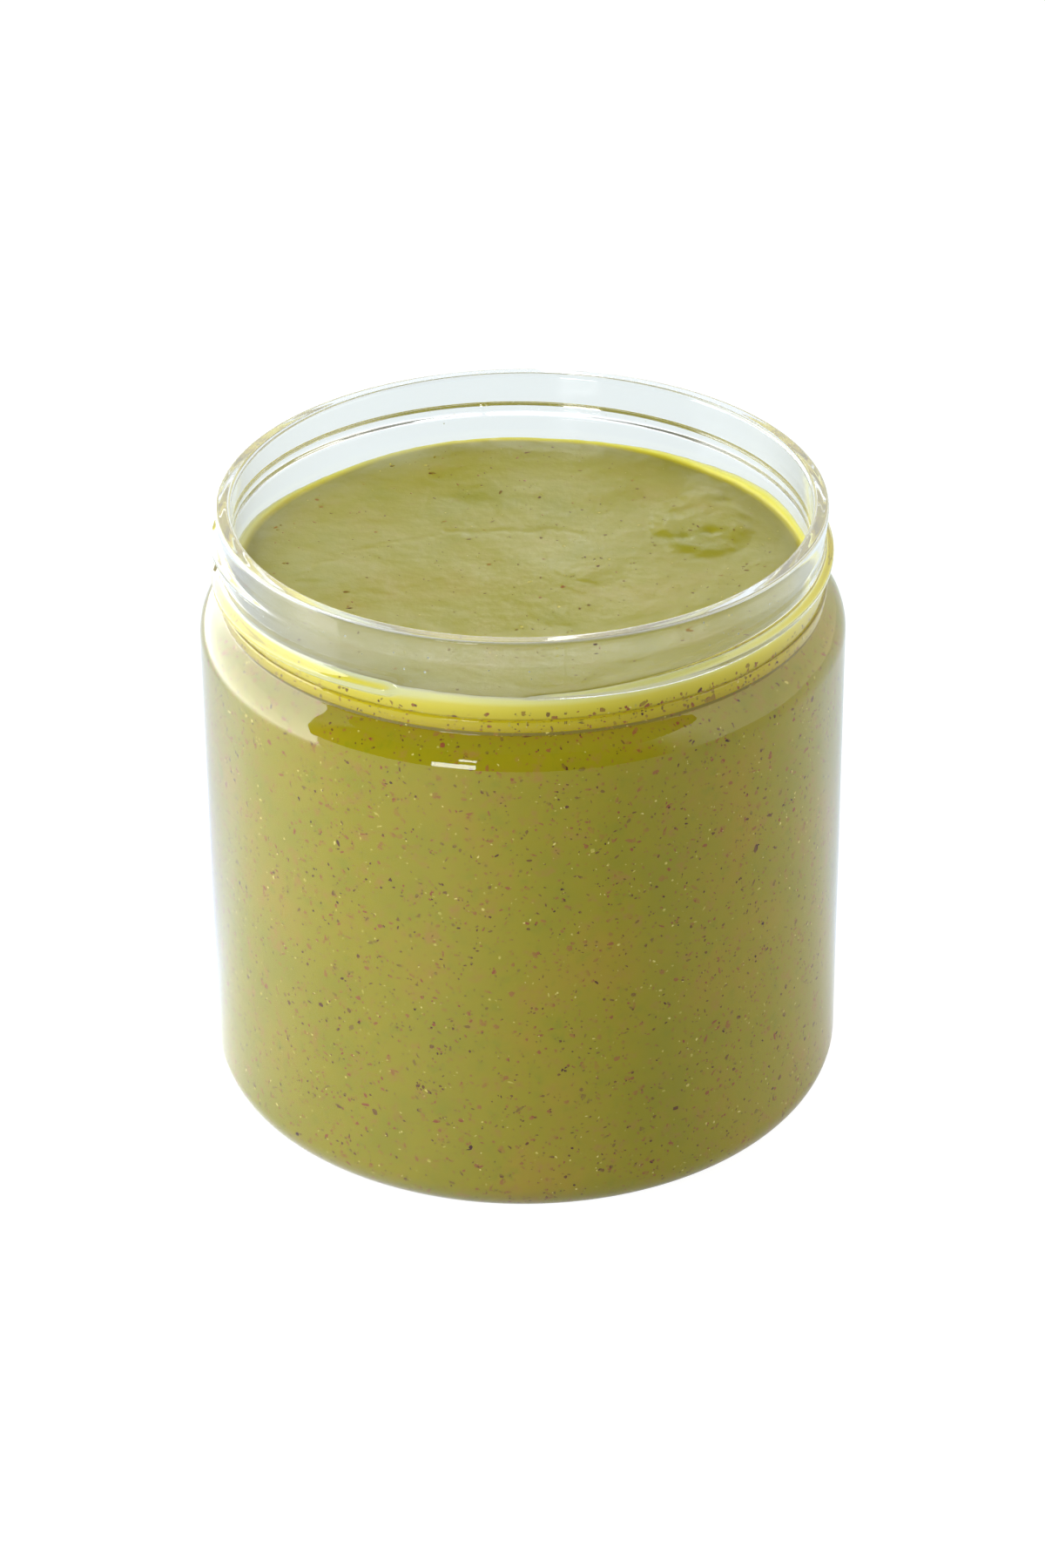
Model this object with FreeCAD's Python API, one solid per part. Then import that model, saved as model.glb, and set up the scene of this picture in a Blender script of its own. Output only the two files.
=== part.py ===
"""A straight-sided clear plastic jar with a wide screw neck, standing open
and filled with pistachio paste to about a centimetre below its rim.

Frame: origin on the ground at the centre of the base, +Z up along the jar's
axis.  -Y is the front.  Angles round the neck are measured from the front,
positive towards +X, so a thread that climbs with the angle is right-handed.
All lengths are millimetres.
"""

import FreeCAD, Part

import math
import os

V = FreeCAD.Vector
AXIS = V(0, 0, 1)

# ---------------------------------------------------------------- jar body
HEIGHT = 91.3          # ground to rim
BODY_R = 46.0          # outside of the straight wall
BODY_WALL = 0.8        # blown wall
HEEL_R = 5.6           # outside radius from the wall to the base
STAND_IN = 37.2        # inner edge of the flat standing ring
PUSH_UP = 2.2          # rise of the underside inside the standing ring
PUSH_UP_R = 33.0       # radius of the raised flat of the underside
BASE_WALL = 1.3        # thickness of the base

# ---------------------------------------------------------------- shoulder
SHOULDER_Z = 74.3      # where the wall's line meets the shoulder's line
SHOULDER_FILLET = 5.5
SHOULDER_FILLET_IN = 4.4
SHOULDER_WALL = 1.1    # thickness, square to the slope

# ---------------------------------------------------------------- neck
NECK_R = 42.9          # outside of the neck wall, below the crest of the thread
NECK_WALL = 2.0
ROOT_Z = 77.0          # where the shoulder runs into the neck
BEAD_R = 43.25         # low ring round the foot of the neck
BEAD_Z0 = 77.65
BEAD_Z1 = 79.45
RIM_R = 43.15          # the wall opens slightly just under the rim
RIM_Z0 = 88.9
RIM_Z1 = 90.0
LIP_OUT_R = 0.5        # rounding of the rim, outside and inside
LIP_IN_R = 0.7

# ---------------------------------------------------------------- thread
THREAD_LEAD = 4.23     # rise in one turn
THREAD_Z0 = 82.9       # middle of the ridge at the front (angle 0)
THREAD_CREST = 44.0    # radius at the crest
THREAD_HALF = 1.35     # half the height of the ridge where it leaves the wall
THREAD_BURY = 0.5      # how far its section reaches into the wall
# The long run climbs evenly. The short one below it comes up out of the bead
# and stops square: its height is END_Z at its end and falls away as
# DROP_1 * u + DROP_2 * u * u, u being the degrees back from the end.
# start, end, length of the ramp at the start, length of the ramp at the end
THREAD_LONG = (-1.5, 315.0, 40.0, 42.0)
THREAD_SHORT = (-114.0, -22.5, 26.0, 3.0)
END_Z, DROP_1, DROP_2 = 82.25, 0.020, 0.00014
THREAD_STEP = 6.0      # degrees between sections

# ---------------------------------------------------------------- contents
LEVEL = 80.3           # mean level of the paste
CLIMB = 1.4            # how far it clings up the wall above its level
CLIMB_WIDTH = 1.1      # and how far in from the wall that reaches
GRID = 22              # spans of the surface each way
SWELLS = (             # amplitude, length and direction of slow swells
    (0.10, 46.0, 20.0, 0.4),
    (0.07, 31.0, 75.0, 1.9),
    (0.05, 21.0, 130.0, 3.1),
)
MOUND_X, MOUND_Y = 26.0, 11.5   # where the last of the paste was dropped
MOUND_R = 9.0
MOUND_H = 0.45
DIMPLE_X, DIMPLE_Y, DIMPLE_R, DIMPLE_H = 27.5, 9.0, 3.2, 0.45
CREASE = ((-33.0, -7.0), (-16.0, 6.5), (-5.0, 14.0))  # a shallow fold
CREASE_R, CREASE_H = 3.0, 0.16


def rounded_wire(corners, closed=True):
    """A wire in the XZ plane through corners (r, z, radius): straight runs
    joined by tangent arcs of each corner's radius."""
    n = len(corners)
    pts = [V(r, 0, z) for r, z, _ in corners]
    ends = []          # (arrive, leave, arc or None) for each corner
    for i, (r, z, rad) in enumerate(corners):
        p = pts[i]
        if rad <= 0:
            ends.append((p, p, None))
            continue
        a = (pts[i - 1] - p).normalize()
        b = (pts[(i + 1) % n] - p).normalize()
        half = a.getAngle(b) / 2.0
        back = rad / math.tan(half)
        q0, q1 = p + a * back, p + b * back
        mid_dir = (a + b).normalize()
        centre = p + mid_dir * (rad / math.sin(half))
        ends.append((q0, q1, Part.Arc(q0, centre - mid_dir * rad, q1)))
    edges = []
    for i in range(n if closed else n - 1):
        _, leave, arc = ends[i]
        if arc is not None:
            edges.append(arc.toShape())
        arrive = ends[(i + 1) % n][0]
        if (arrive - leave).Length > 1e-7:
            edges.append(Part.LineSegment(leave, arrive).toShape())
    return Part.Wire(edges)


def revolved(corners):
    face = Part.Face(rounded_wire(corners))
    return face.revolve(V(0, 0, 0), AXIS, 360)


# ---------------------------------------------------------------- profiles
SLOPE = V(NECK_R - BODY_R, 0, ROOT_Z - SHOULDER_Z).normalize()
INWARD = V(-SLOPE.z, 0, SLOPE.x)       # square to the slope, into the wall


def on_inner_slope(radius):
    """Height of the shoulder's inner face at this radius."""
    p = V(NECK_R, 0, ROOT_Z) + INWARD * SHOULDER_WALL
    t = (radius - p.x) / SLOPE.x
    return p.z + SLOPE.z * t


BORE_R = NECK_R - NECK_WALL
INNER_R = BODY_R - BODY_WALL


def inner_corners():
    """The inside of the jar, from the rim down to the axis."""
    return [
        (BORE_R, on_inner_slope(BORE_R), 1.6),
        (INNER_R, on_inner_slope(INNER_R), SHOULDER_FILLET_IN),
        (INNER_R, BASE_WALL, HEEL_R - 1.0),
        (STAND_IN + 0.6, BASE_WALL, 1.6),
        (PUSH_UP_R + 0.2, PUSH_UP + BASE_WALL, 3.0),
        (0.0, PUSH_UP + BASE_WALL, 0.0),
    ]


def outer_corners():
    """The outside of the jar, from the axis up to the rim."""
    return [
        (0.0, PUSH_UP, 0.0),
        (PUSH_UP_R, PUSH_UP, 3.0),
        (STAND_IN, 0.0, 1.2),
        (BODY_R, 0.0, HEEL_R),
        (BODY_R, SHOULDER_Z, SHOULDER_FILLET),
        (NECK_R, ROOT_Z, 0.3),
        (NECK_R, BEAD_Z0, 0.0),
        (BEAD_R, BEAD_Z0, 0.3),
        (BEAD_R, BEAD_Z1, 0.3),
        (NECK_R, BEAD_Z1, 0.0),
        (NECK_R, RIM_Z0, 1.2),
        (RIM_R, RIM_Z1, 1.2),
        (RIM_R, HEIGHT, LIP_OUT_R),
    ]


# ---------------------------------------------------------------- thread
def smooth(t):
    t = max(0.0, min(1.0, t))
    return t * t * (3.0 - 2.0 * t)


def long_height(angle):
    return THREAD_Z0 + THREAD_LEAD * angle / 360.0


def short_height(angle):
    u = THREAD_SHORT[1] - angle
    return END_Z - DROP_1 * u - DROP_2 * u * u


def thread_section(angle, fullness, zc):
    """The ridge cut square across at this angle: a flat foot inside the wall
    and a rounded back.  fullness 0 lies just under the wall's surface."""
    foot = NECK_R - THREAD_BURY
    crest = NECK_R - 0.06 + (THREAD_CREST - NECK_R + 0.06) * fullness ** 0.6
    half = THREAD_HALF * (0.35 + 0.65 * fullness)
    t = math.radians(angle - 90.0)          # -Y is the front

    def at(radius, z):
        return V(radius * math.cos(t), radius * math.sin(t), z)

    low, high = at(foot, zc - half), at(foot, zc + half)
    back = Part.Arc(low, at(crest, zc), high).toShape()
    return Part.Wire([back, Part.LineSegment(high, low).toShape()])


def thread_run(run, height):
    start, end, ramp_in, ramp_out = run
    angles = {start, end}
    for k in range(1, 5):
        angles.add(start + ramp_in * k / 4.0)
        angles.add(end - ramp_out * k / 4.0)
    a = start + ramp_in + THREAD_STEP
    while a < end - ramp_out - THREAD_STEP / 2.0:
        angles.add(a)
        a += THREAD_STEP
    wires = []
    for angle in sorted(angles):
        full = smooth((angle - start) / ramp_in) * smooth((end - angle) / ramp_out)
        wires.append(thread_section(angle, full, height(angle)))
    return Part.makeLoft(wires, True, False, False)


def make_jar():
    inside = inner_corners()
    ring = outer_corners() + [(BORE_R, HEIGHT, LIP_IN_R)] + inside
    shell = revolved(ring)
    return shell.multiFuse([thread_run(THREAD_LONG, long_height),
                            thread_run(THREAD_SHORT, short_height)])


# ---------------------------------------------------------------- paste
def bump(distance, radius):
    """1 in the middle, falling smoothly to 0 at about twice the radius."""
    return math.exp(-((distance / radius) ** 2))


def to_segment(x, y, a, b):
    dx, dy = b[0] - a[0], b[1] - a[1]
    t = ((x - a[0]) * dx + (y - a[1]) * dy) / (dx * dx + dy * dy)
    t = max(0.0, min(1.0, t))
    return math.hypot(x - a[0] - t * dx, y - a[1] - t * dy)


def surface_height(x, y):
    """The paste's surface: slow swells, the settled mound with its dimple,
    and a shallow fold."""
    z = LEVEL
    for amp, length, direction, phase in SWELLS:
        d = math.radians(direction)
        z += amp * math.sin(2 * math.pi * (x * math.cos(d) + y * math.sin(d)) / length + phase)
    z += MOUND_H * bump(math.hypot(x - MOUND_X, y - MOUND_Y), MOUND_R * 0.7)
    z -= DIMPLE_H * bump(math.hypot(x - DIMPLE_X, y - DIMPLE_Y), DIMPLE_R)
    fold = min(to_segment(x, y, a, b) for a, b in zip(CREASE, CREASE[1:]))
    z -= CREASE_H * bump(fold, CREASE_R)
    return z


def make_paste():
    inside = inner_corners()
    top = HEIGHT - 3.0
    solid = revolved([(0.0, top, 0.0), (BORE_R, top, 0.0)] + inside)

    reach = BODY_R
    rows = []
    for i in range(GRID + 1):
        x = -reach + 2 * reach * i / GRID
        rows.append([V(x, y, surface_height(x, y))
                     for y in (-reach + 2 * reach * j / GRID for j in range(GRID + 1))])
    surface = Part.BSplineSurface()
    surface.interpolate(rows)
    above = surface.toShape().extrude(V(0, 0, 30.0))
    solid = solid.cut(above)

    # the paste clings a little way up the wall in a hollow curve
    foot = LEVEL - 0.9
    low = V(BORE_R - CLIMB_WIDTH, 0, LEVEL - 0.25)
    high = V(BORE_R, 0, LEVEL + CLIMB)
    mid = V(BORE_R - CLIMB_WIDTH * 0.28, 0, LEVEL + CLIMB * 0.18)
    edges = [
        Part.Arc(low, mid, high).toShape(),
        Part.LineSegment(high, V(BORE_R, 0, foot)).toShape(),
        Part.LineSegment(V(BORE_R, 0, foot), V(BORE_R - CLIMB_WIDTH, 0, foot)).toShape(),
        Part.LineSegment(V(BORE_R - CLIMB_WIDTH, 0, foot), low).toShape(),
    ]
    cling = Part.Face(Part.Wire(edges)).revolve(V(0, 0, 0), AXIS, 360)
    return solid.fuse(cling)


def one_solid(shape):
    shape = shape.removeSplitter()
    solids = shape.Solids
    if len(solids) != 1:
        raise RuntimeError("expected one solid, found %d" % len(solids))
    solid = solids[0]
    if not solid.isValid():
        raise RuntimeError("the solid is not valid")
    return solid


os.makedirs("parts", exist_ok=True)
for name, make in (("jar", make_jar), ("paste", make_paste)):
    solid = one_solid(make())
    solid.exportStep("parts/%s.step" % name)
    b = solid.BoundBox
    print("%-6s volume %9.1f mm3  x %.2f..%.2f  y %.2f..%.2f  z %.2f..%.2f  faces %d"
          % (name, solid.Volume, b.XMin, b.XMax, b.YMin, b.YMax, b.ZMin, b.ZMax, len(solid.Faces)))
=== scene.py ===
"""Looks of the open jar of pistachio paste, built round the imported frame.

Everything is worked out in millimetres and turned into metres at the end.
Angles round the jar are measured from the front (-Y), positive towards +X.
"""

import math
import random

import bmesh
import bpy
import numpy as np
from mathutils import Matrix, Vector, noise


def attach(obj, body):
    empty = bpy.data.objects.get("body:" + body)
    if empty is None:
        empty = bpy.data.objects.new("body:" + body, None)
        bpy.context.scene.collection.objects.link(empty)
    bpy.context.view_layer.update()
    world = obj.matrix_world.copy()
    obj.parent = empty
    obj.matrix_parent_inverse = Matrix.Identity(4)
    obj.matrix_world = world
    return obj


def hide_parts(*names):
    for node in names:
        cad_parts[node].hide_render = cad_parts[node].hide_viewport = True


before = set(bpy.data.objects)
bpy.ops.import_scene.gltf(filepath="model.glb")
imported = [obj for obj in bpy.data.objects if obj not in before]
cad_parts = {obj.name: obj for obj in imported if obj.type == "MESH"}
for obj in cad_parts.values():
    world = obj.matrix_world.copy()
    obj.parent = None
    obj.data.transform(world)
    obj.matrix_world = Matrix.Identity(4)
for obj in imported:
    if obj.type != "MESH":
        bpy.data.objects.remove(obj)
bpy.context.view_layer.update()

MM = 0.001
rng = np.random.default_rng(20)
random.seed(20)

# ------------------------------------------------------------- dimensions
HEIGHT = 91.3
BODY_R, BODY_WALL, HEEL_R = 46.0, 0.8, 5.6
STAND_IN, PUSH_UP, PUSH_UP_R, BASE_WALL = 37.2, 2.2, 33.0, 1.3
SHOULDER_Z, SHOULDER_FILLET, SHOULDER_FILLET_IN, SHOULDER_WALL = 74.3, 5.5, 4.4, 1.1
NECK_R, NECK_WALL, ROOT_Z = 42.9, 2.0, 77.0
BEAD_R, BEAD_Z0, BEAD_Z1 = 43.25, 77.65, 79.45
RIM_R, RIM_Z0, RIM_Z1 = 43.15, 88.9, 90.0
LIP_OUT_R, LIP_IN_R = 0.5, 0.7
BORE_R = NECK_R - NECK_WALL
INNER_R = BODY_R - BODY_WALL

THREAD_LEAD, THREAD_Z0, THREAD_CREST = 4.23, 82.9, 44.0
THREAD_LONG = (-1.5, 315.0, 40.0, 42.0)
THREAD_SHORT = (-114.0, -22.5, 26.0, 3.0)
END_Z, DROP_1, DROP_2 = 82.25, 0.020, 0.00014
SEAMS = (7.5, 187.5)      # where the halves of the neck mould met

LEVEL = 80.3

sl = math.hypot(NECK_R - BODY_R, ROOT_Z - SHOULDER_Z)
SLOPE = ((NECK_R - BODY_R) / sl, (ROOT_Z - SHOULDER_Z) / sl)


def inner_slope_z(r):
    px = NECK_R - SLOPE[1] * SHOULDER_WALL
    pz = ROOT_Z + SLOPE[0] * SHOULDER_WALL
    return pz + SLOPE[1] * (r - px) / SLOPE[0]


def outline(corners, arc_deg=9.0):
    """Points (r, z) of straight runs joined by tangent arcs. A corner is
    (r, z, radius of its arc, longest step of the run that leaves it)."""
    out = []
    n = len(corners)
    ends = []
    for i, (r, z, rad, _) in enumerate(corners):
        p = np.array([r, z], float)
        if rad <= 0 or i in (0, n - 1):
            ends.append([p])
            continue
        a = np.array(corners[i - 1][:2]) - p
        b = np.array(corners[i + 1][:2]) - p
        a /= np.linalg.norm(a)
        b /= np.linalg.norm(b)
        half = math.acos(max(-1, min(1, float(a @ b)))) / 2
        back = rad / math.tan(half)
        m = (a + b) / np.linalg.norm(a + b)
        c = p + m * rad / math.sin(half)
        turn = math.pi - 2 * half
        k = max(2, int(math.ceil(math.degrees(turn) / arc_deg)), int(math.ceil(rad * turn / 0.3)))
        q0, q1 = p + a * back - c, p + b * back - c
        pts = []
        for j in range(k + 1):
            t = j / k
            w0 = math.sin((1 - t) * turn) / math.sin(turn)
            w1 = math.sin(t * turn) / math.sin(turn)
            pts.append(c + q0 * w0 + q1 * w1)
        ends.append(pts)
    for i in range(n):
        out += [tuple(p) for p in ends[i]]
        if i < n - 1:
            p, q = ends[i][-1], ends[i + 1][0]
            d = float(np.linalg.norm(q - p))
            k = max(1, int(math.ceil(d / corners[i][3])))
            out += [tuple(p + (q - p) * j / k) for j in range(1, k)]
    clean = [out[0]]
    for p in out[1:]:
        if math.hypot(p[0] - clean[-1][0], p[1] - clean[-1][1]) > 1e-4:
            clean.append(p)
    return clean


OUTER = [
    (0.0, PUSH_UP, 0, 6.0),
    (PUSH_UP_R, PUSH_UP, 3.0, 1.5),
    (STAND_IN, 0.0, 1.2, 1.2),
    (BODY_R, 0.0, HEEL_R, 2.6),
    (BODY_R, SHOULDER_Z, SHOULDER_FILLET, 0.35),
    (NECK_R, ROOT_Z, 0.3, 0.3),
    (NECK_R, BEAD_Z0, 0.04, 0.2),
    (BEAD_R, BEAD_Z0, 0.3, 0.3),
    (BEAD_R, BEAD_Z1, 0.3, 0.2),
    (NECK_R, BEAD_Z1, 0.04, 0.16),
    (NECK_R, RIM_Z0 - 1.4, 5.0, 0.3),
    (RIM_R, RIM_Z1 + 0.2, 4.0, 0.3),
    (RIM_R, HEIGHT, LIP_OUT_R, 0.3),
]
INNER = [
    (BORE_R, HEIGHT, LIP_IN_R, 0.8),
    (BORE_R, inner_slope_z(BORE_R), 1.6, 0.5),
    (INNER_R, inner_slope_z(INNER_R), SHOULDER_FILLET_IN, 3.0),
    (INNER_R, BASE_WALL, HEEL_R - 1.0, 1.2),
    (STAND_IN + 0.6, BASE_WALL, 1.6, 1.2),
    (PUSH_UP_R + 0.2, PUSH_UP + BASE_WALL, 3.0, 6.0),
    (0.0, PUSH_UP + BASE_WALL, 0, 1.0),
]


def smooth(t):
    t = np.clip(t, 0.0, 1.0)
    return t * t * (3 - 2 * t)


def long_height(a):
    return THREAD_Z0 + THREAD_LEAD * a / 360.0


def short_height(a):
    u = THREAD_SHORT[1] - a
    return END_Z - DROP_1 * u - DROP_2 * u * u


def thread(theta, z):
    """How far the thread stands out at angle theta (degrees, arrays)."""
    out = np.zeros_like(z)
    for run, height in ((THREAD_LONG, long_height), (THREAD_SHORT, short_height)):
        start, end, rin, rout = run
        for turn in (-360.0, 0.0, 360.0):
            a = theta + turn
            begin, finish = smooth((a - start) / rin), smooth((end - a) / rout)
            full = begin * finish
            d = np.abs(z - height(a))
            tall = np.power(begin, 0.6) * np.power(finish, 1.4)
            tall = tall * (1 - 0.2 * np.exp(-(((a - SEAMS[1]) / 0.75) ** 2)))
            foot = 0.45 + 0.90 * full
            crest = 0.12 + 0.14 * full
            rise = smooth((foot - d) / (foot - crest))
            out = np.maximum(out, (THREAD_CREST - NECK_R) * tall * rise)
    return out


def new_mesh(name, verts, faces, smooth_shading=True):
    me = bpy.data.meshes.new(name)
    me.from_pydata([tuple(v) for v in np.asarray(verts) * MM], [], faces)
    me.update()
    bm = bmesh.new()
    bm.from_mesh(me)
    bmesh.ops.recalc_face_normals(bm, faces=bm.faces)
    bm.to_mesh(me)
    bm.free()
    if smooth_shading:
        me.polygons.foreach_set("use_smooth", [True] * len(me.polygons))
    o = bpy.data.objects.new(name, me)
    bpy.context.scene.collection.objects.link(o)
    return o


def angles(n, extra=()):
    a = set(np.round(np.arange(n) * 360.0 / n, 4))
    for c in extra:
        a = {v for v in a if abs((v - c + 180) % 360 - 180) > 0.55}
        for d in (-0.5, -0.3, -0.16, -0.08, 0.0, 0.08, 0.16, 0.3, 0.5):
            a.add(round((c + d) % 360, 4))
    return np.array(sorted(a))


def lathe(profile, th, shape=None):
    """Vertices and faces of a turned body whose profile runs from axis to
    axis. shape(theta, r, z, index) may move each ring of points."""
    ring = np.array(profile[1:-1])
    n, m = len(th), len(ring)
    R = np.repeat(ring[None, :, 0], n, 0)
    Z = np.repeat(ring[None, :, 1], n, 0)
    T = np.repeat(th[:, None], m, 1)
    if shape:
        R, Z = shape(T, R, Z)
    t = np.radians(T)
    P = np.stack([R * np.sin(t), -R * np.cos(t), Z], -1).reshape(-1, 3)
    verts = np.vstack([P, [[0, 0, profile[0][1]], [0, 0, profile[-1][1]]]])
    a, b = n * m, n * m + 1
    faces = []
    for i in range(n):
        j = (i + 1) % n
        p, q = i * m, j * m
        faces.append((a, q, p))
        for k in range(m - 1):
            faces.append((p + k, q + k, q + k + 1, p + k + 1))
        faces.append((p + m - 1, q + m - 1, b))
    return verts, faces


def fractal(x, y, z, scale, octaves=3, seed=0.0):
    """Seeded smooth noise over arrays, about -1 to 1."""
    out = np.empty(x.size)
    xs, ys, zs = (np.ravel(q) / scale for q in np.broadcast_arrays(x, y, z))
    for i in range(out.size):
        out[i] = noise.fractal(Vector((xs[i] + seed, ys[i] - seed, zs[i] + 2 * seed)), 1.0, 2.0, octaves)
    return out.reshape(np.shape(x))


# ------------------------------------------------------------- the jar
jar_profile = outline(OUTER + INNER)
n_outer = len(outline(OUTER)) - 2


def jar_shape(T, R, Z):
    k = np.arange(R.shape[1])[None, :]
    outside = (k < n_outer + 30) & (R > NECK_R - 0.05) & (Z > BEAD_Z0 + 0.35) & (Z < HEIGHT - LIP_OUT_R)
    R = np.where(outside, np.maximum(R, NECK_R + thread(T, Z)), R)
    # slight waves where the shoulder was blown out of the neck's thick wall
    dome = (k < n_outer) & (Z > 73.0) & (Z < 77.0)
    t = np.radians(T[dome])
    wave = np.zeros_like(R)
    wave[dome] = fractal(45 * np.sin(t), 45 * np.cos(t), 3.2 * Z[dome], 5.0, 2, 11.0)
    R = R + 0.035 * wave * smooth((Z - 73.4) / 1.2) * smooth((77.0 - Z) / 0.6)
    for s in SEAMS:      # the fine ridge that the neck mould leaves
        d = np.abs((T - s + 180) % 360 - 180)
        ridge = 0.03 * np.clip(1 - d / 0.16, 0, 1)
        R = R + np.where((k < n_outer + 30) & (Z > ROOT_Z + 0.3) & (R > NECK_R - 0.5), ridge, 0.0)
    return R, Z


jar_th = angles(540, SEAMS)
v, f = lathe(jar_profile, jar_th, jar_shape)
jar = new_mesh("jar_wall", v, f)


# ------------------------------------------------------------- the paste
SWELLS = ((0.10, 46.0, 20.0, 0.4), (0.07, 31.0, 75.0, 1.9), (0.05, 21.0, 130.0, 3.1))
MOUND = (26.0, 13.0, 7.2, 10.5, 0.27)      # centre, half widths, height
# x, y, radius and depth of the pits left round the mound
PITS = ((29.5, 20.3, 1.0, 0.34), (27.2, 10.5, 1.0, 0.36), (30.0, 7.2, 2.4, 0.16),
        (23.0, 8.7, 1.0, 0.22), (21.0, 16.5, 1.6, 0.16), (-8.0, 21.0, 3.2, 0.16), (12.0, -4.0, 4.5, 0.14))
# a fine fold that wanders over the paste
CREASE = ((-31.2, -9.0), (-30.7, -4.7), (-29.4, 1.6), (-24.3, 4.9), (-21.1, 6.5), (-14.7, 9.2),
          (-11.2, 11.6), (-5.0, 11.0), (2.3, 11.4), (8.0, 10.2))
CREASE_2 = ((5.0, -3.0), (9.5, -6.2), (16.0, -7.4), (20.0, -13.0))


def bump(d, r):
    return np.exp(-((d / r) ** 2))


def to_segment(x, y, a, b):
    dx, dy = b[0] - a[0], b[1] - a[1]
    t = np.clip(((x - a[0]) * dx + (y - a[1]) * dy) / (dx * dx + dy * dy), 0, 1)
    return np.hypot(x - a[0] - t * dx, y - a[1] - t * dy)


def surface(x, y):
    z = np.full_like(x, LEVEL)
    for amp, length, direction, phase in SWELLS:
        d = math.radians(direction)
        z = z + amp * np.sin(2 * math.pi * (x * math.cos(d) + y * math.sin(d)) / length + phase)
    rough_edge = 0.20 * fractal(x, y, 0 * x, 5.0, 3, 17.0)
    rho = np.hypot((x - MOUND[0]) / MOUND[2], (y - MOUND[1]) / MOUND[3]) + rough_edge
    z = z + MOUND[4] * smooth((1.10 - rho) / 0.45) + 0.06 * bump(rho - 0.75, 0.15)
    for px, py, pr, depth in PITS:
        z = z - depth * bump(np.hypot(x - px, y - py) * (1 + 2 * rough_edge), pr)
    for line, depth, width in ((CREASE, 0.055, 0.85), (CREASE_2, 0.035, 1.0)):
        wx = x + 1.5 * fractal(x, y, 0 * x, 4.5, 3, 21.0)
        wy = y + 1.5 * fractal(x, y, 0 * x, 4.5, 3, 27.0)
        fold = np.full_like(x, 99.0)
        for a, b in zip(line, line[1:]):
            fold = np.minimum(fold, to_segment(wx, wy, a, b))
        z = z - depth * bump(fold, width)
    # it rises a little towards the back of the jar
    z = z + 0.48 * smooth((y - 27.0) / 13.0)
    z = z + 0.08 * fractal(x, y, 0 * x, 7.5, 3, 3.0)
    z = z + 0.018 * fractal(x, y, 0 * x, 1.7, 2, 8.0)
    return z


# angle, height of the film left on the wall above the paste's level
FILM = ((-180, 0.12), (-162, 0.05), (-145, 0.10), (-128, 0.50), (-111, 1.10), (-98, 1.62),
        (-85, 1.88), (-73, 1.98), (-40, 2.10), (-12, 2.20), (5, 2.05), (30, 1.90), (60, 1.80),
        (90, 1.65), (103, 1.38), (112, 1.62), (120, 1.72), (128, 1.36), (136, 1.22),
        (148, 0.62), (161, 0.28), (180, 0.12))


def climb(theta):
    """How far the paste clings up the wall above its surface."""
    t = np.radians(theta)
    a = (theta + 180.0) % 360.0 - 180.0
    out = np.interp(a, [q[0] for q in FILM], [q[1] for q in FILM])
    return out + 0.07 * fractal(40 * np.sin(t), 40 * np.cos(t), 0 * t, 3.0, 3, 5.0)


WET = 0.06           # how far the contents reach into the wall
paste_th = np.arange(448) * 360.0 / 448
near = np.array([1.5, 1.2, 0.95, 0.75, 0.6, 0.48, 0.38, 0.30, 0.235, 0.18, 0.14, 0.105, 0.08, 0.055, 0.03, 0.0])
top_r = np.concatenate([np.arange(0.5, 38.0, 0.36), np.linspace(38.2, BORE_R - 1.7, 4), BORE_R + WET - near])
PT, PR = np.meshgrid(paste_th, top_r, indexing="ij")
PX, PY = PR * np.sin(np.radians(PT)), -PR * np.cos(np.radians(PT))
PZ = surface(PX, PY)
c = climb(paste_th)[:, None]
gap = np.maximum(BORE_R + WET - PR, 0)
PZ = PZ + c * (0.55 * np.exp(-gap / 0.10) + 0.45 * np.exp(-gap / 0.5))
EDGE = PZ[:, -1]

inside = [p for p in outline([(BORE_R, LEVEL + 1.0, 0, 0.5)] + INNER[1:])]
side = []            # the inside of the wall, moved out by WET
for i, (r, z) in enumerate(inside[:-1]):
    if z > 79.6:
        continue
    a = np.array(inside[max(0, i - 1)])
    b = np.array(inside[min(len(inside) - 1, i + 1)])
    t = (b - a) / np.linalg.norm(b - a)
    side.append((r - t[1] * WET, z + t[0] * WET))
side = np.array(side)
n, mt, ms = len(paste_th), len(top_r), len(side)
mid = 4
t = np.radians(paste_th)[:, None]
low = side[0, 1]
MZ = EDGE[:, None] + (low - EDGE[:, None]) * (np.arange(1, mid + 1)[None, :] / (mid + 1))
MR = np.full_like(MZ, BORE_R + WET)
SR = np.repeat(side[None, :, 0], n, 0)
SZ = np.repeat(side[None, :, 1], n, 0)
R_all = np.concatenate([PR, MR, SR], 1)
Z_all = np.concatenate([PZ, MZ, SZ], 1)
P = np.stack([R_all * np.sin(t), -R_all * np.cos(t), Z_all], -1)
m = P.shape[1]
centre_z = float(surface(np.array([0.0]), np.array([0.0]))[0])
verts = np.vstack([P.reshape(-1, 3), [[0, 0, centre_z], [0, 0, side[-1, 1]]]])
faces, slot_of = [], []
for i in range(n):
    j = (i + 1) % n
    p, q = i * m, j * m
    faces.append((n * m, p, q))
    slot_of.append(0)
    for k in range(m - 1):
        faces.append((p + k, p + k + 1, q + k + 1, q + k))
        slot_of.append(0 if k < mt - 1 else 1)
    faces.append((q + m - 1, p + m - 1, n * m + 1))
    slot_of.append(1)
paste = new_mesh("paste_fill", verts, faces)
paste.data.polygons.foreach_set("material_index", slot_of)


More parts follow.
